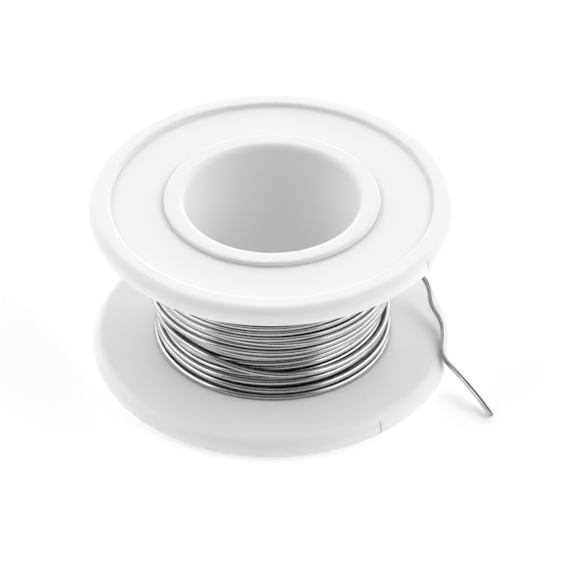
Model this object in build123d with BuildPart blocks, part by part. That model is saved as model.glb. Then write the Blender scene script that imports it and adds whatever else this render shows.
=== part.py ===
"""Small spool of flux-cored solder wire, standing on its lower flange.

Frame: the spool's axis is Z, the surface that the spool stands on is z = 0, and the wire's
free end leaves on the +X side. All sizes are in millimetres.
"""
import os
from math import cos, pi, radians, sin, tan

from build123d import *

os.makedirs("parts", exist_ok=True)

# Spool: a core tube with a flange pressed on each end
HEIGHT = 25.4
FLANGE_RADIUS = 25.0
FLANGE_THICKNESS = 3.25
BORE_RADIUS = 11.9
TUBE_RADIUS = 14.65
BORE_MOUTH_ROUND = 0.8
COLLAR_EDGE_ROUND = 0.3

# Flange: a raised rim round a shallow recess in the outward face
RIM_INNER_RADIUS = 22.0
RECESS_DEPTH = 0.6
RIM_OUTWARD_ROUND = 1.2
RIM_INWARD_ROUND = 1.6
RECESS_EDGE_ROUND = 0.25
SLIT_WIDTH = 0.3
SLIT_DEPTH = 0.4
LOWER_SLIT_AZIMUTH = -54.0
UPPER_SLIT_AZIMUTH = -33.5

# Snap bead near each end of the tube: only its crown stands out of the tube
BEAD_SECTION_RADIUS = 0.4
BEAD_CROWN = 0.15
BEAD_FROM_END = (RECESS_DEPTH + FLANGE_THICKNESS) / 2
GROOVE_CLEARANCE = 0.02

# Solder wire, with one flux core, wound in two layers
WIRE_DIAMETER = 0.8
CORE_DIAMETER = 0.29
CORE_CLEARANCE = 0.005
INNER_LAYER_RADIUS = TUBE_RADIUS + WIRE_DIAMETER
LAYER_RISE = WIRE_DIAMETER * cos(radians(30))
WINDING_RADIUS = INNER_LAYER_RADIUS + LAYER_RISE

# The outer layer is parted here, and the last turn lies loose on the inner layer in the gap
PARTING_LOW = 6.5
PARTING_HIGH = 9.9
OUTER_LAYER_ROUND = 0.3
TURN_CLEARANCE = 0.06
TURN_RADIUS = INNER_LAYER_RADIUS + TURN_CLEARANCE + WIRE_DIAMETER / 2
TURN_HEIGHT = 8.2
LEAVING_AZIMUTH = 60.0
TURN_SWEEP = 325.0

# Route of the free end after it leaves the last turn: past the lower flange's rim and down
# to the surface, where its cut tip rests
FREE_END_ROUTE = [
    (16.8, 9.0, 7.9),
    (20.6, 7.1, 7.1),
    (21.9, 4.8, 6.3),
    (22.0, 2.0, 5.3),
    (23.6, -0.7, 4.4),
    (23.6, -4.4, 3.7),
    (23.4, -7.4, 3.5),
    (25.2, -9.7, 2.9),
    (27.5, -12.4, 1.7),
    (29.1, -14.7, 0.8),
    (29.8, -15.9, 0.42),
]
LEAVING_RUN = 4.8
ARC_SHARE = 0.45


def leaving_point():
    """Centre of the wire where the last turn ends, and the tangent that it leaves along."""
    azimuth = radians(LEAVING_AZIMUTH)
    point = Vector(TURN_RADIUS * cos(azimuth), TURN_RADIUS * sin(azimuth), TURN_HEIGHT)
    return point, Vector(sin(azimuth), -cos(azimuth), 0)


def free_end_path():
    """Straight runs joined by tangent arcs, from the last turn to the cut tip."""
    start, tangent = leaving_point()
    corners = [start, start + tangent * LEAVING_RUN]
    corners += [Vector(*point) for point in FREE_END_ROUTE]
    radii = []
    for before, corner, after in zip(corners, corners[1:], corners[2:]):
        run_in = corner - before
        run_out = after - corner
        half_turn = radians(run_in.get_angle(run_out)) / 2
        radii.append(ARC_SHARE * min(run_in.length, run_out.length) / tan(half_turn))
    return FilletPolyline(*corners, radius=radii), radii


def annulus(outer_radius, inner_radius):
    """Draw a ring in the current sketch."""
    Circle(outer_radius)
    Circle(inner_radius, mode=Mode.SUBTRACT)


def snap_ring(height, clearance, mode):
    """Revolve the bead's round section about Z, as a bead or as the groove it snaps into."""
    bead_centre = TUBE_RADIUS + BEAD_CROWN - BEAD_SECTION_RADIUS
    with BuildSketch(Plane.XZ) as section:
        with Locations((bead_centre, height)):
            Circle(BEAD_SECTION_RADIUS + clearance)
    revolve(section.sketch, axis=Axis.Z, mode=mode)


def make_flange(outward_z, inward, slit_azimuth):
    """Disc with a raised rim: outward_z is its outward face, inward is +1 or -1 along Z."""
    with BuildPart() as flange:
        with BuildSketch(Plane.XY.offset(outward_z)):
            annulus(FLANGE_RADIUS, TUBE_RADIUS)
        extrude(amount=inward * FLANGE_THICKNESS)
        with BuildSketch(Plane.XY.offset(outward_z)):
            annulus(RIM_INNER_RADIUS, TUBE_RADIUS)
        extrude(amount=inward * RECESS_DEPTH, mode=Mode.SUBTRACT)

        circles = flange.edges().filter_by(GeomType.CIRCLE)
        rim_edges = circles.group_by(SortBy.RADIUS)[-1].sort_by(Axis.Z)
        if inward < 0:
            rim_edges = rim_edges[::-1]
        fillet(rim_edges[0], radius=RIM_OUTWARD_ROUND)
        fillet(rim_edges[-1], radius=RIM_INWARD_ROUND)
        step_edges = flange.edges().filter_by(GeomType.CIRCLE).filter_by(
            lambda edge: abs(edge.radius - RIM_INNER_RADIUS) < RECESS_EDGE_ROUND / 2)
        fillet(step_edges, radius=RECESS_EDGE_ROUND)

        snap_ring(outward_z + inward * BEAD_FROM_END, GROOVE_CLEARANCE, Mode.SUBTRACT)
        with BuildSketch(Plane.XY.offset(outward_z)):
            with PolarLocations(FLANGE_RADIUS, 1, start_angle=slit_azimuth):
                Rectangle(2 * SLIT_DEPTH, SLIT_WIDTH)
        extrude(amount=inward * FLANGE_THICKNESS, mode=Mode.SUBTRACT)
    return flange.part


# Flanges
lower_flange = make_flange(0, 1, LOWER_SLIT_AZIMUTH)
lower_flange.label = "lower_flange"
export_step(lower_flange, "parts/lower_flange.step")

upper_flange = make_flange(HEIGHT, -1, UPPER_SLIT_AZIMUTH)
upper_flange.label = "upper_flange"
export_step(upper_flange, "parts/upper_flange.step")

# Core tube: the through bore, and a snap bead where each flange is pressed on
with BuildPart() as core_tube:
    with BuildSketch():
        annulus(TUBE_RADIUS, BORE_RADIUS)
    extrude(amount=HEIGHT)
    for height in (BEAD_FROM_END, HEIGHT - BEAD_FROM_END):
        snap_ring(height, 0, Mode.ADD)
    end_edges = core_tube.edges().filter_by(GeomType.CIRCLE).group_by(Axis.Z)
    for end in (end_edges[0], end_edges[-1]):
        mouth_and_collar = end.sort_by(SortBy.RADIUS)
        fillet(mouth_and_collar[0], radius=BORE_MOUTH_ROUND)
        fillet(mouth_and_collar[-1], radius=COLLAR_EDGE_ROUND)
core_tube.part.label = "core_tube"
export_step(core_tube.part, "parts/core_tube.step")

# Winding: the outer shape of all the turns but the last, parted where that one lies
with BuildPart() as solder_winding:
    with BuildSketch(Plane.XY.offset(FLANGE_THICKNESS)):
        annulus(WINDING_RADIUS, TUBE_RADIUS)
    extrude(amount=HEIGHT - 2 * FLANGE_THICKNESS)
    with BuildSketch(Plane.XY.offset(PARTING_LOW)):
        annulus(FLANGE_RADIUS, INNER_LAYER_RADIUS)
    extrude(amount=PARTING_HIGH - PARTING_LOW, mode=Mode.SUBTRACT)
    outer_edges = solder_winding.edges().filter_by(GeomType.CIRCLE).group_by(SortBy.RADIUS)[-1]
    fillet(outer_edges, radius=OUTER_LAYER_ROUND)
solder_winding.part.label = "solder_winding"
export_step(solder_winding.part, "parts/solder_winding.step")

# Last turn: an open ring that ends where the free end begins
leaving, leaving_tangent = leaving_point()
leaving_plane = Plane(origin=leaving, z_dir=leaving_tangent)
with BuildPart() as wire_last_turn:
    with BuildSketch(leaving_plane):
        Circle(WIRE_DIAMETER / 2)
    revolve(axis=Axis.Z, revolution_arc=TURN_SWEEP)
wire_last_turn.part.label = "wire_last_turn"
export_step(wire_last_turn.part, "parts/wire_last_turn.step")

# Free end: the solder sheath, and the flux core inside it
with BuildPart() as wire_free_end:
    with BuildLine() as sheath_line:
        _, bend_radii = free_end_path()
    with BuildSketch(leaving_plane):
        annulus(WIRE_DIAMETER / 2, CORE_DIAMETER / 2 + CORE_CLEARANCE)
    sweep()
wire_free_end.part.label = "wire_free_end"
export_step(wire_free_end.part, "parts/wire_free_end.step")

with BuildPart() as rosin_core:
    with BuildLine() as core_line:
        free_end_path()
    with BuildSketch(leaving_plane):
        Circle(CORE_DIAMETER / 2)
    sweep()
rosin_core.part.label = "rosin_core"
export_step(rosin_core.part, "parts/rosin_core.step")

free_length = sum(edge.length for edge in sheath_line.edges())
sheath_area = pi * ((WIRE_DIAMETER / 2) ** 2 - (CORE_DIAMETER / 2 + CORE_CLEARANCE) ** 2)
print("bend radii", [round(radius, 1) for radius in bend_radii])
print("free end length", round(free_length, 1))
print("sheath volume", round(wire_free_end.part.volume, 3), "of", round(sheath_area * free_length, 3))
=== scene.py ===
"""Looks of a small white spool of flux-cored solder wire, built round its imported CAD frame."""
import logging
import math
import random
from dataclasses import dataclass, field
from enum import Enum
from typing import Any

import bmesh
import bpy
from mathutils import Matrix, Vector


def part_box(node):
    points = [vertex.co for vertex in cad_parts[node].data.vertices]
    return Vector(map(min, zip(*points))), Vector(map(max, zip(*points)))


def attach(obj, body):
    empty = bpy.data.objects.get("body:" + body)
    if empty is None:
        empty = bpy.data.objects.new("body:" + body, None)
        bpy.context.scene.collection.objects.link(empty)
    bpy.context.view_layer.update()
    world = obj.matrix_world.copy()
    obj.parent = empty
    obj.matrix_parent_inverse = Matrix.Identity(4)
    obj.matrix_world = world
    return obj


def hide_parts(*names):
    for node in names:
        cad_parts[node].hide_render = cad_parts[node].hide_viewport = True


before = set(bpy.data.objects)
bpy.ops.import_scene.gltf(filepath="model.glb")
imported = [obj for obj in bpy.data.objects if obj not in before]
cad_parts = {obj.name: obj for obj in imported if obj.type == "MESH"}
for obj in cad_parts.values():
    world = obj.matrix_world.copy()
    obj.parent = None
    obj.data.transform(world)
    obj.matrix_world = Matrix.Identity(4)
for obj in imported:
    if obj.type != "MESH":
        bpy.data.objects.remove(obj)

LOG = logging.getLogger("solder_spool")
MM = 0.001
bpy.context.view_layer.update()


class Body(Enum):
    """The two bodies that pieces ride on."""

    SPOOL = "spool"
    WIRE_END = "wire_end"


class Slot(Enum):
    """The record's material slots."""

    PLASTIC = "white_plastic"
    SOLDER = "solder"
    ROSIN = "rosin"


def linear_colour(srgb_hex: str) -> tuple[float, float, float, float]:
    """Turn an sRGB hex colour into linear light.

    Args:
        srgb_hex: six hex digits, such as "F2F2F0".

    Returns:
        Linear red, green, blue and an alpha of 1.
    """
    channels = [int(srgb_hex[i:i + 2], 16) / 255 for i in (0, 2, 4)]
    linear = [c / 12.92 if c <= 0.04045 else ((c + 0.055) / 1.055) ** 2.4 for c in channels]
    return (*linear, 1.0)


def add_node(tree: bpy.types.NodeTree, kind: str, inputs: dict[str | int, Any] | None = None,
             **settings: Any) -> bpy.types.Node:
    """Add one shader node with its settings, its values and its links.

    Args:
        tree: the node tree that gets the node.
        kind: the node's Blender type name.
        inputs: value or output socket for each input, by name or index.
        settings: the node's own attributes.

    Returns:
        The new node.
    """
    node = tree.nodes.new(kind)
    for name, value in settings.items():
        setattr(node, name, value)
    for key, value in (inputs or {}).items():
        if isinstance(value, bpy.types.NodeSocket):
            tree.links.new(value, node.inputs[key])
        else:
            node.inputs[key].default_value = value
    return node


def new_material(name: str) -> tuple[bpy.types.Material, bpy.types.NodeTree, bpy.types.Node]:
    """Make an empty material with an output node.

    Args:
        name: the material's name.

    Returns:
        The material, its node tree and its output node.
    """
    material = bpy.data.materials.new(name)
    material.use_nodes = True
    tree = material.node_tree
    tree.nodes.clear()
    return material, tree, add_node(tree, "ShaderNodeOutputMaterial")


def mix_colours(tree: bpy.types.NodeTree, factor: bpy.types.NodeSocket,
                first: str | bpy.types.NodeSocket, second: str) -> bpy.types.NodeSocket:
    """Blend two colours by a factor.

    Args:
        tree: the node tree that gets the node.
        factor: the socket that drives the blend.
        first: the colour where the factor is 0, as sRGB hex or as a socket.
        second: the colour where the factor is 1, as sRGB hex.

    Returns:
        The blended colour's socket.
    """
    start = linear_colour(first) if isinstance(first, str) else first
    # A colour mix reads its factor at input 0 and its two colours at inputs 6 and 7
    mix = add_node(tree, "ShaderNodeMix", {0: factor, 6: start, 7: linear_colour(second)},
                   data_type="RGBA")
    return mix.outputs[2]


@dataclass(frozen=True)
class MouldedPolypropylene:
    """White polypropylene, injection moulded in a satin mould.

    It gives the eye a bright, slightly soft white with broad, weak highlights.
    """

    name: str = "moulded_polypropylene"
    colour: str = "F5F5F5"
    shade_colour: str = "F2F2F2"
    roughness: float = 0.42
    roughness_spread: float = 0.06
    cloud_size: float = 7 * MM
    grain_size: float = 0.18 * MM
    grain_depth: float = 0.004 * MM
    grain_strength: float = 0.4
    refraction: float = 1.49
    glow: float = 0.4
    glow_depth: float = 1.5 * MM

    def build(self) -> bpy.types.Material:
        """Build the material.

        Returns:
            The finished material.
        """
        material, tree, output = new_material(self.name)
        place = add_node(tree, "ShaderNodeTexCoord").outputs["Object"]
        cloud = add_node(tree, "ShaderNodeTexNoise",
                         {"Vector": place, "Scale": 1 / self.cloud_size, "Detail": 3.0})
        tint = mix_colours(tree, cloud.outputs["Fac"], self.colour, self.shade_colour)
        rough = add_node(tree, "ShaderNodeMapRange",
                         {"Value": cloud.outputs["Fac"],
                          "To Min": self.roughness - self.roughness_spread,
                          "To Max": self.roughness + self.roughness_spread})
        # Mould texture: the fine grain that a spark-eroded or blasted mould leaves
        grain = add_node(tree, "ShaderNodeTexNoise",
                         {"Vector": place, "Scale": 1 / self.grain_size, "Detail": 2.0})
        bump = add_node(tree, "ShaderNodeBump",
                        {"Height": grain.outputs["Fac"], "Strength": self.grain_strength,
                         "Distance": self.grain_depth})
        shader = add_node(tree, "ShaderNodeBsdfPrincipled",
                          {"Base Color": tint, "Roughness": rough.outputs[0],
                           "IOR": self.refraction, "Normal": bump.outputs[0],
                           "Subsurface Weight": self.glow, "Subsurface Radius": (1, 1, 1),
                           "Subsurface Scale": self.glow_depth})
        tree.links.new(shader.outputs[0], output.inputs["Surface"])
        return material


@dataclass(frozen=True)
class DrawnSolder:
    """Tin-lead solder drawn through a die.

    It gives the eye a bright silvery metal with fine lines along the wire, a little duller in
    patches, and painted shade, near black, in the narrow gaps between turns.
    """

    name: str = "drawn_tin_lead_solder"
    bright: str = "CCCCCB"
    dull: str = "BABAB9"
    # Painted shade: a near-black colour laid into the gaps between turns by ambient occlusion
    painted_shade: str = "0C0C0C"
    painted_shade_reach: float = 0.8 * MM
    painted_shade_start: float = 0.42
    painted_shade_full: float = 0.68
    painted_shade_samples: int = 8
    roughness_bright: float = 0.2
    roughness_dull: float = 0.27
    patch_size: float = 6 * MM
    patch_start: float = 0.38
    patch_full: float = 0.68
    line_size: float = 0.2 * MM
    line_depth: float = 0.0003 * MM
    line_strength: float = 0.35

    def build(self) -> bpy.types.Material:
        """Build the material.

        Returns:
            The finished material.
        """
        material, tree, output = new_material(self.name)
        place = add_node(tree, "ShaderNodeTexCoord").outputs["Object"]
        patch = add_node(tree, "ShaderNodeTexNoise",
                         {"Vector": place, "Scale": 1 / self.patch_size, "Detail": 4.0,
                          "Roughness": 0.6})
        spread = add_node(tree, "ShaderNodeMapRange",
                          {"Value": patch.outputs["Fac"], "From Min": self.patch_start,
                           "From Max": self.patch_full})
        parts = add_node(tree, "ShaderNodeSeparateXYZ", {"Vector": place})
        flat = add_node(tree, "ShaderNodeCombineXYZ",
                        {"X": parts.outputs["X"], "Y": parts.outputs["Y"]})
        away = add_node(tree, "ShaderNodeVectorMath", {0: flat.outputs[0]}, operation="LENGTH")
        # Painted shade: the colour goes near black where the metal has little open air round it,
        # between turns
        crevice_occlusion = add_node(tree, "ShaderNodeAmbientOcclusion", {"Distance": self.painted_shade_reach},
                            samples=self.painted_shade_samples)
        deep = add_node(tree, "ShaderNodeMapRange",
                        {"Value": crevice_occlusion.outputs["AO"], "From Min": 1 - self.painted_shade_start,
                         "From Max": 1 - self.painted_shade_full})
        tint = mix_colours(tree, spread.outputs[0], self.bright, self.dull)
        # Painted shade mixed into the colour where the occlusion mask is high
        tint = mix_colours(tree, deep.outputs[0], tint, self.painted_shade)
        rough = add_node(tree, "ShaderNodeMapRange",
                         {"Value": spread.outputs[0], "To Min": self.roughness_bright,
                          "To Max": self.roughness_dull})
        # Die lines run along the wire, so the pattern hardly changes round the spool's axis:
        # it reads the distance from the axis and the height only
        across = add_node(tree, "ShaderNodeCombineXYZ",
                          {"X": away.outputs["Value"], "Y": parts.outputs["Z"]})
        lines = add_node(tree, "ShaderNodeTexNoise",
                         {"Vector": across.outputs[0], "Scale": 1 / self.line_size,
                          "Detail": 2.0})
        bump = add_node(tree, "ShaderNodeBump",
                        {"Height": lines.outputs["Fac"], "Strength": self.line_strength,
                         "Distance": self.line_depth})
        shader = add_node(tree, "ShaderNodeBsdfPrincipled",
                          {"Base Color": tint, "Roughness": rough.outputs[0],
                           "Metallic": 1.0, "Normal": bump.outputs[0]})
        tree.links.new(shader.outputs[0], output.inputs["Surface"])
        return material


@dataclass(frozen=True)
class RosinFlux:
    """Amber rosin, set from a melt.

    It gives the eye a dark, clear amber dot with a sharp highlight.
    """

    name: str = "rosin_flux"
    colour: str = "B9772B"
    deep_colour: str = "7A4312"
    cloud_size: float = 0.2 * MM
    roughness: float = 0.15
    refraction: float = 1.53

    def build(self) -> bpy.types.Material:
        """Build the material.

        Returns:
            The finished material.
        """
        material, tree, output = new_material(self.name)
        place = add_node(tree, "ShaderNodeTexCoord").outputs["Object"]
        cloud = add_node(tree, "ShaderNodeTexNoise",
                         {"Vector": place, "Scale": 1 / self.cloud_size, "Detail": 2.0})
        tint = mix_colours(tree, cloud.outputs["Fac"], self.colour, self.deep_colour)
        shader = add_node(tree, "ShaderNodeBsdfPrincipled",
                          {"Base Color": tint, "Roughness": self.roughness,
                           "IOR": self.refraction})
        tree.links.new(shader.outputs[0], output.inputs["Surface"])
        return material


def smooth_curve(name: str, points: list[Vector], radius: float, steps: int,
                 ring: int) -> bpy.types.Object:
    """Make a round wire on one smooth NURBS line.

    Args:
        name: the object's name.
        points: the line's control points, in metres.
        radius: the wire's radius.
        steps: mesh steps from one control point to the next.
        ring: the bevel resolution round the wire.

    Returns:
        The curve object, linked to the scene.
    """
    curve = bpy.data.curves.new(name, "CURVE")
    curve.dimensions = "3D"
    spline = curve.splines.new("NURBS")
    spline.points.add(len(points) - 1)
    for target, point in zip(spline.points, points):
        target.co = (*point, 1.0)
    spline.order_u = 3
    spline.use_endpoint_u = True
    spline.resolution_u = steps
    curve.bevel_depth = radius
    curve.bevel_resolution = ring
    curve.use_fill_caps = True
    wire = bpy.data.objects.new(name, curve)
    bpy.context.scene.collection.objects.link(wire)
    return wire


def knots_at(knots: list[tuple[float, float]], place: float) -> float:
    """Read a value from straight lines between knots.

    Args:
        knots: (place, value) pairs, by rising place.
        place: where to read.

    Returns:
        The value there, held level past either end.
    """
    if place <= knots[0][0]:
        return knots[0][1]
    for (start, low), (end, high) in zip(knots, knots[1:]):
        if place <= end:
            return low + (high - low) * (place - start) / (end - start)
    return knots[-1][1]


def averaged(values: list[float], reach: int) -> list[float]:
    """Smooth a list with a moving average.

    Args:
        values: the list.
        reach: how many neighbours on each side count.

    Returns:
        The smoothed list, as long as the first.
    """
    smooth = []
    for i in range(len(values)):
        near = values[max(0, i - reach):i + reach + 1]
        smooth.append(sum(near) / len(near))
    return smooth


@dataclass
class WoundWire:
    """The wire's turns up to the last one, laid lap by lap as a winder lays them.

    The bottom of the inner layer comes first, then the outer turns on top of it, then the
    rest of the inner layer up to the upper flange, and the outer layer back down. It stops
    short of the lower outer turns, so the inner layer shows in a gap, and the last turn lies
    in that gap. Heights and radii are in millimetres from the spool's foot and axis. A lap
    runs clockwise seen from above, and whole numbers of laps are at the front.
    """

    diameter: float = 0.8
    tube_radius: float = 14.65
    stations: int = 36
    first_lap: float = -2.5
    first_rise: float = 1.6
    lowest_lap: float = -0.5
    last_lap: float = 35.6111
    end_height: float = 9.3
    # Where the plain inner layer starts, as lap and height, and the laps at the upper flange
    inner_start: tuple[float, float] = (6.8, 10.6)
    top_laps: tuple[float, float] = (20.75, 21.5)
    # Spans of laps that lie on the inner layer, and spans that wander up and down
    outer_spans: tuple[tuple[float, float], ...] = ((-0.4, 2.3), (21.5, 36.0))
    loose_spans: tuple[tuple[float, float], ...] = ((-0.3, 2.2), (28.0, 36.0))
    wander: float = 0.06
    wander_reach: int = 4
    smooth_reach: int = 2
    # How near two turns may come, as a part of the wire's thickness
    nearest: float = 0.94
    # Each loose turn's heights at these parts of its lap, from the right to the left
    places: tuple[float, ...] = (-0.194, -0.125, -0.061, 0.0, 0.069, 0.139, 0.208)
    lower_turns: tuple[tuple[float, ...], ...] = (
        (3.65, 3.65, 3.65, 3.65, 3.65, 3.75, 3.90),
        (4.90, 4.80, 4.62, 4.47, 4.88, 5.00, 5.00),
        (6.30, 6.05, 5.92, 5.95, 5.86, 5.86, 5.90),
        (7.20, 7.17, 7.13, 6.80, 6.45, 6.15, 6.10),
        (8.20, 8.18, 8.13, 7.93, 7.65, 6.98, 6.90),
        (9.00, 8.97, 8.93, 8.73, 8.45, 7.78, 7.70),
        (9.80, 9.77, 9.73, 9.60, 9.30, 9.00, 9.00),
    )
    upper_lap: int = 29
    upper_turns: tuple[tuple[float, ...], ...] = (
        (15.60, 15.50, 15.30, 15.31, 15.10, 14.65, 14.50),
        (14.60, 14.35, 14.60, 14.50, 14.20, 13.90, 13.70),
        (13.40, 13.20, 13.35, 13.55, 13.80, 13.30, 12.95),
        (12.70, 12.75, 12.70, 12.80, 12.95, 12.55, 12.20),
        (11.90, 12.00, 11.95, 12.05, 12.10, 11.85, 11.50),
        (11.05, 11.15, 11.28, 11.38, 11.38, 11.28, 11.05),
        (10.15, 10.22, 10.27, 10.21, 10.28, 10.15, 9.85),
    )
    # Heights behind the spool, where the low turns spread out and leave the last turn room
    back_turns: tuple[tuple[float, float], ...] = (
        (1.3, 5.02), (1.6, 5.18), (2.3, 5.92), (2.6, 6.12), (3.3, 6.72), (3.45, 7.05),
        (3.6, 7.5), (4.3, 7.5), (4.45, 7.85), (4.6, 8.3), (5.3, 8.3), (5.45, 8.65),
        (5.6, 9.1), (6.3, 9.3), (6.45, 9.6), (35.3, 10.0), (35.4, 9.98), (35.5, 9.7),
    )
    # How far the wire stands off what lies below it, by lap
    slack: tuple[tuple[float, float], ...] = (
        (-0.42, 0.0), (-0.24, 0.50), (-0.14, 0.60), (-0.04, 0.30), (0.2, 0.22), (0.4, 0.0),
        (0.62, 0.0), (0.76, 0.3), (0.84, 0.35), (0.95, 0.1), (1.1, 0.0),
        (33.1, 0.0), (33.25, 0.1), (33.5, 0.0),
    )
    rng: random.Random = field(default_factory=lambda: random.Random(7))

    def __post_init__(self) -> None:
        """Take the room between the flanges from the frame."""
        low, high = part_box("solder_winding")
        self.low = low.z / MM + self.diameter / 2
        self.high = high.z / MM - self.diameter / 2

    def height_knots(self) -> list[tuple[float, float]]:
        """List the wire's height by lap.

        Returns:
            (lap, height) pairs.
        """
        knots = [(self.first_lap, self.low + self.first_rise), (self.lowest_lap, self.low)]
        for start, turns in ((0, self.lower_turns), (self.upper_lap, self.upper_turns)):
            for lap, heights in enumerate(turns, start):
                knots += [(lap + place, h) for place, h in zip(self.places, heights)]
        knots += [self.inner_start, *((lap, self.high) for lap in self.top_laps)]
        knots += [*self.back_turns, (self.last_lap, self.end_height)]
        return sorted(knots)

    def resting_radius(self, lap: float, height: float,
                       laid: list[tuple[float, float]]) -> float:
        """Find the nearest place to the tube where the wire fits between the turns laid.

        Args:
            lap: the wire's lap, which tells its layer.
            height: the wire's height.
            laid: the (height, radius) of each turn already laid at this azimuth.

        Returns:
            The radius of the wire's centre.
        """
        near = [(h, r) for h, r in laid if abs(height - h) < self.diameter]
        outer = any(start < lap < end for start, end in self.outer_spans)
        rise = self.diameter * math.cos(math.radians(30)) if outer else 0.0
        places = [self.tube_radius + self.diameter / 2 + rise]
        places += [r + math.sqrt(self.diameter ** 2 - (height - h) ** 2) for h, r in near]
        gap = self.nearest * self.diameter
        for place in sorted(places):
            if all(math.hypot(height - h, place - r) > gap for h, r in near):
                return place
        return max(places)

    def route(self) -> list[Vector]:
        """Lay the wire lap by lap.

        Returns:
            The winding's control points, in metres.
        """
        count = round((self.last_lap - self.first_lap) * self.stations)
        laps = [self.last_lap - (count - i) / self.stations for i in range(count + 1)]
        drift = averaged([self.rng.gauss(0, 1) for _ in laps], self.wander_reach)
        knots = self.height_knots()
        heights = []
        for lap, shift in zip(laps, drift):
            loose = any(start < lap < end for start, end in self.loose_spans)
            heights.append(knots_at(knots, lap) + (self.wander * shift if loose else 0.0))
        heights = averaged(heights, self.smooth_reach)
        heights = [min(max(h, self.low), self.high) for h in heights]
        laid: list[list[tuple[float, float]]] = [[] for _ in range(self.stations)]
        radii = []
        for i, (lap, height) in enumerate(zip(laps, heights)):
            station = laid[i % self.stations]
            radius = self.resting_radius(lap, height, station) + knots_at(list(self.slack), lap)
            station.append((height, radius))
            radii.append(radius)
        radii = averaged(radii, self.smooth_reach)
        inset = 1 / math.cos(math.pi / self.stations)
        points = []
        for lap, height, radius in zip(laps, heights, radii):
            azimuth = -math.pi * (0.5 + 2 * lap)
            points.append(Vector((radius * inset * math.cos(azimuth),
                                  radius * inset * math.sin(azimuth), height)) * MM)
        return points

    def build(self, finish: bpy.types.Material) -> bpy.types.Object:
        """Args:
            finish: the solder's material.

        Returns:
            The winding's curve object.
        """
        points = self.route()
        wire = smooth_curve("solder_winding_turns", points, self.diameter / 2 * MM, steps=2,
                            ring=4)
        wire.data.materials.append(finish)
        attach(wire, Body.SPOOL.value)
        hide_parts("solder_winding")
        return wire


@dataclass
class LastTurn:
    """The last turn, loose in the outer layer's gap, and the free end that runs off it.

    The route's points are in millimetres. The turn is given by its height at some azimuths,
    which fall as the wire runs on, clockwise seen from above.
    """

    diameter: float = 0.8
    core_diameter: float = 0.29
    core_stand: float = 0.03
    stations: int = 36
    start_azimuth: float = 410.0
    leaving_azimuth: float = 60.0
    leaving_run: float = 4.8
    turn_radius: float = 15.91
    heights: tuple[tuple[float, float], ...] = (
        (60, 8.2), (90, 8.15), (135, 8.0), (180, 7.9), (195, 8.05), (205, 8.5), (215, 8.88),
        (225, 8.97), (235, 8.83), (245, 8.55), (250, 8.25), (255, 7.95), (260, 7.66),
        (270, 7.36), (285, 7.1), (300, 7.0), (325, 6.95), (340, 6.95), (352, 7.05),
        (365, 7.4), (380, 8.1), (395, 8.75), (410, 9.3),
    )
    free_end: tuple[tuple[float, float, float], ...] = (
        (16.8, 9.0, 7.9),
        (20.6, 7.1, 7.1),
        (21.9, 4.8, 6.3),
        (22.0, 2.0, 5.3),
        (23.6, -0.7, 4.4),
        (23.6, -4.4, 3.7),
        (23.4, -7.4, 3.5),
        (25.2, -9.7, 2.9),
        (27.5, -12.4, 1.7),
        (29.1, -14.7, 0.8),
        (29.8, -15.9, 0.42),
    )

    def turn_points(self) -> list[Vector]:
        """Work out the last turn's control points, from its start to where it leaves.

        Returns:
            Points in millimetres.
        """
        step = 360 / self.stations
        count = round((self.start_azimuth - self.leaving_azimuth) / step)
        azimuths = [self.start_azimuth - step * i for i in range(count + 1)]
        heights = [knots_at(list(self.heights), a) for a in azimuths]
        heights = [heights[0]] + averaged(heights[1:-2], 1) + [self.heights[0][1]] * 2
        radius = self.turn_radius / math.cos(math.radians(step / 2))
        points = []
        for azimuth, height in zip(azimuths, heights):
            turned = math.radians(azimuth)
            points.append(Vector((radius * math.cos(turned), radius * math.sin(turned), height)))
        return points

    def route(self) -> list[Vector]:
        """Join the last turn and the free end.

        Returns:
            Control points in metres.
        """
        points = self.turn_points()
        leaving = math.radians(self.leaving_azimuth)
        tangent = Vector((math.sin(leaving), -math.cos(leaving), 0))
        ring_end = Vector((math.cos(leaving), math.sin(leaving), 0)) * self.turn_radius
        ring_end.z = self.heights[0][1]
        points[-1] = ring_end
        points.append(ring_end + tangent * self.leaving_run)
        points += [Vector(p) for p in self.free_end]
        return [p * MM for p in points]

    def build(self, finish: bpy.types.Material, flux: bpy.types.Material) -> bpy.types.Object:
        """Args:
            finish: the solder's material.
            flux: the rosin's material.

        Returns:
            The wire's curve object.
        """
        points = self.route()
        wire = smooth_curve("solder_free_end", points, self.diameter / 2 * MM, steps=6, ring=6)
        wire.data.materials.append(finish)
        last_run = (points[-1] - points[-2]).normalized()
        core_points = points[-len(self.free_end):-1]
        core_points.append(points[-1] + last_run * self.core_stand * MM)
        core = smooth_curve("rosin_flux_core", core_points, self.core_diameter / 2 * MM,
                            steps=6, ring=3)
        core.data.materials.append(flux)
        for piece in (wire, core):
            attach(piece, Body.WIRE_END.value)
        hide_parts("wire_last_turn", "wire_free_end")
        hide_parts("rosin_core")
        return wire


@dataclass
class Spool:
    """The plastic spool: the core tube and both flanges keep their CAD shapes."""

    nodes: tuple[str, ...] = ("core_tube", "lower_flange", "upper_flange")

    def dress(self, finish: bpy.types.Material) -> None:
        """Give every plastic part its moulded finish.

        Args:
            finish: the plastic's material.
        """
        for name in self.nodes:
            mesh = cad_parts[name].data
            mesh.materials.clear()
            mesh.materials.append(finish)
            LOG.info("dressed %s", name)


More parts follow.
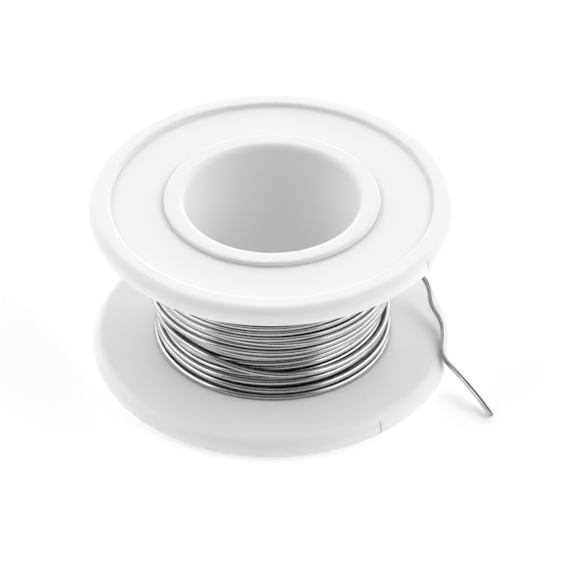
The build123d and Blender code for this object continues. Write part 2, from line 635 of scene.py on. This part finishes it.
@dataclass
class Studio:
    """A light table inside a ring of pale cards, and the camera.

    Each card's strength is given for the front, the back, the left and the right: low cards
    stand round the table, high cards lean over it, and one card hangs overhead.
    """

    floor_size: float = 3.0
    floor_colour: str = "FAFAFA"
    floor_glow: float = 0.25
    floor_roughness: float = 0.9
    low_cards: tuple[float, ...] = (0.0, 2.1, 0.6, 0.7)
    high_cards: tuple[float, ...] = (0.1, 1.25, 2.7, 2.8)
    overhead: float = 0.04
    front_direction: tuple[float, float, float] = (-0.105, -0.995, 0.0)
    front_edge: float = 0.643
    front_blur: float = 0.03
    side_blur: float = 0.05
    low_edge: float = 0.35
    high_edge: float = 0.8
    edge_blur: float = 0.1
    backdrop: float = 1.1
    camera_distance: float = 0.56704
    camera_elevation: float = 37.844
    camera_right: float = 0.002165
    camera_up: float = 0.007787
    lens: float = 255.03
    sensor: float = 36.0

    def floor(self) -> None:
        """Lay the light table."""
        shape = bmesh.new()
        bmesh.ops.create_grid(shape, x_segments=1, y_segments=1, size=self.floor_size / 2)
        mesh = bpy.data.meshes.new("light_table")
        shape.to_mesh(mesh)
        shape.free()
        floor = bpy.data.objects.new("light_table", mesh)
        bpy.context.scene.collection.objects.link(floor)
        material, tree, output = new_material("backlit_acrylic_sheet")
        shader = add_node(tree, "ShaderNodeBsdfPrincipled",
                          {"Base Color": linear_colour(self.floor_colour),
                           "Roughness": self.floor_roughness, "Emission Color": (1, 1, 1, 1),
                           "Emission Strength": self.floor_glow})
        tree.links.new(shader.outputs[0], output.inputs["Surface"])
        mesh.materials.append(material)

    def sky(self) -> None:
        """Surround the table with the cards: the camera itself sees plain white."""
        world = bpy.data.worlds.new("studio_cards")
        bpy.context.scene.world = world
        world.use_nodes = True
        tree = world.node_tree
        tree.nodes.clear()

        def math_node(operation: str, first: Any, second: Any) -> bpy.types.NodeSocket:
            """Combine two values or sockets by one operation.

            Args:
                operation: the operation's Blender name.
                first: the first value or socket.
                second: the second value or socket.

            Returns:
                The result's socket.
            """
            node = add_node(tree, "ShaderNodeMath", {0: first, 1: second}, operation=operation)
            return node.outputs[0]

        def blend(start: Any, end: Any, factor: bpy.types.NodeSocket) -> bpy.types.NodeSocket:
            """Go from one value or socket to another by a factor.

            Args:
                start: the value or socket where the factor is 0.
                end: the value or socket where the factor is 1.
                factor: the socket that drives the blend.

            Returns:
                The blended value's socket.
            """
            return add_node(tree, "ShaderNodeMix", {0: factor, 2: start, 3: end}).outputs[0]

        place = add_node(tree, "ShaderNodeTexCoord").outputs["Generated"]
        height = add_node(tree, "ShaderNodeSeparateXYZ", {"Vector": place}).outputs["Z"]
        level = add_node(tree, "ShaderNodeVectorMath", {0: place, 1: (1, 1, 0)},
                         operation="MULTIPLY")
        around = add_node(tree, "ShaderNodeVectorMath", {0: level.outputs[0]},
                          operation="NORMALIZE").outputs[0]
        level = add_node(tree, "ShaderNodeSeparateXYZ", {"Vector": around})
        toward = add_node(tree, "ShaderNodeVectorMath",
                          {0: around, 1: self.front_direction}, operation="DOT_PRODUCT")
        front = add_node(tree, "ShaderNodeMapRange",
                         {"Value": toward.outputs["Value"],
                          "From Min": self.front_edge - self.front_blur,
                          "From Max": self.front_edge + self.front_blur},
                         interpolation_type="SMOOTHSTEP")
        rightness = add_node(tree, "ShaderNodeMapRange",
                             {"Value": level.outputs["X"], "From Min": -self.side_blur,
                              "From Max": self.side_blur})
        beyond = math_node("MAXIMUM", level.outputs["Y"], 0.0)
        rest = math_node("SUBTRACT", 1.0, front.outputs[0])
        rear = math_node("MULTIPLY", math_node("MULTIPLY", beyond, beyond), rest)
        sides = math_node("SUBTRACT", rest, rear)
        right = math_node("MULTIPLY", sides, rightness.outputs[0])
        shares = [front.outputs[0], rear, math_node("SUBTRACT", sides, right), right]

        def ring(strengths: tuple[float, ...]) -> bpy.types.NodeSocket:
            """Add up the four sides' strengths.

            Args:
                strengths: the strength at the front, the back, the left and the right.

            Returns:
                The summed strength's socket.
            """
            total = math_node("MULTIPLY", shares[0], strengths[0])
            for share, strength in zip(shares[1:], strengths[1:]):
                total = math_node("ADD", total, math_node("MULTIPLY", share, strength))
            return total

        rise = add_node(tree, "ShaderNodeMapRange",
                        {"Value": height, "From Min": self.low_edge - self.edge_blur,
                         "From Max": self.low_edge + self.edge_blur},
                        interpolation_type="SMOOTHSTEP")
        crown = add_node(tree, "ShaderNodeMapRange",
                         {"Value": height, "From Min": self.high_edge - self.edge_blur,
                          "From Max": self.high_edge + self.edge_blur},
                         interpolation_type="SMOOTHSTEP")
        strength = blend(ring(self.low_cards), ring(self.high_cards), rise.outputs[0])
        strength = blend(strength, self.overhead, crown.outputs[0])
        light = add_node(tree, "ShaderNodeBackground",
                         {"Color": (1, 1, 1, 1), "Strength": strength})
        seen = add_node(tree, "ShaderNodeBackground",
                        {"Color": (1, 1, 1, 1), "Strength": self.backdrop})
        path = add_node(tree, "ShaderNodeLightPath")
        both = add_node(tree, "ShaderNodeMixShader",
                        {0: path.outputs["Is Camera Ray"], 1: light.outputs[0],
                         2: seen.outputs[0]})
        add_node(tree, "ShaderNodeOutputWorld", {"Surface": both.outputs[0]})

    def camera(self) -> None:
        """Stand the camera in front of the spool and above it."""
        tilt = math.radians(self.camera_elevation)
        back = Vector((0, -math.cos(tilt), math.sin(tilt)))
        up = Vector((0, math.sin(tilt), math.cos(tilt)))
        lens = bpy.data.cameras.new("camera")
        lens.sensor_width = self.sensor
        lens.lens = self.lens
        camera = bpy.data.objects.new("camera", lens)
        camera.location = (back * self.camera_distance + up * self.camera_up
                           + Vector((self.camera_right, 0, 0)))
        camera.rotation_euler = (math.pi / 2 - tilt, 0, 0)
        bpy.context.scene.collection.objects.link(camera)
        bpy.context.scene.camera = camera

    def build(self) -> None:
        """Set up the light table, the cards and the camera."""
        self.floor()
        self.sky()
        self.camera()
        bpy.context.scene.view_settings.view_transform = "Standard"


def main() -> None:
    """Build every piece in order."""
    logging.basicConfig(level=logging.INFO, format="%(name)s: %(message)s")
    Studio().build()
    plastic = MouldedPolypropylene().build()
    solder = DrawnSolder().build()
    rosin = RosinFlux().build()
    winding = WoundWire().build(solder)
    LOG.info("built %s", winding.name)
    end = LastTurn().build(solder, rosin)
    LOG.info("built %s", end.name)
    Spool().dress(plastic)


if __name__ == "__main__":
    main()
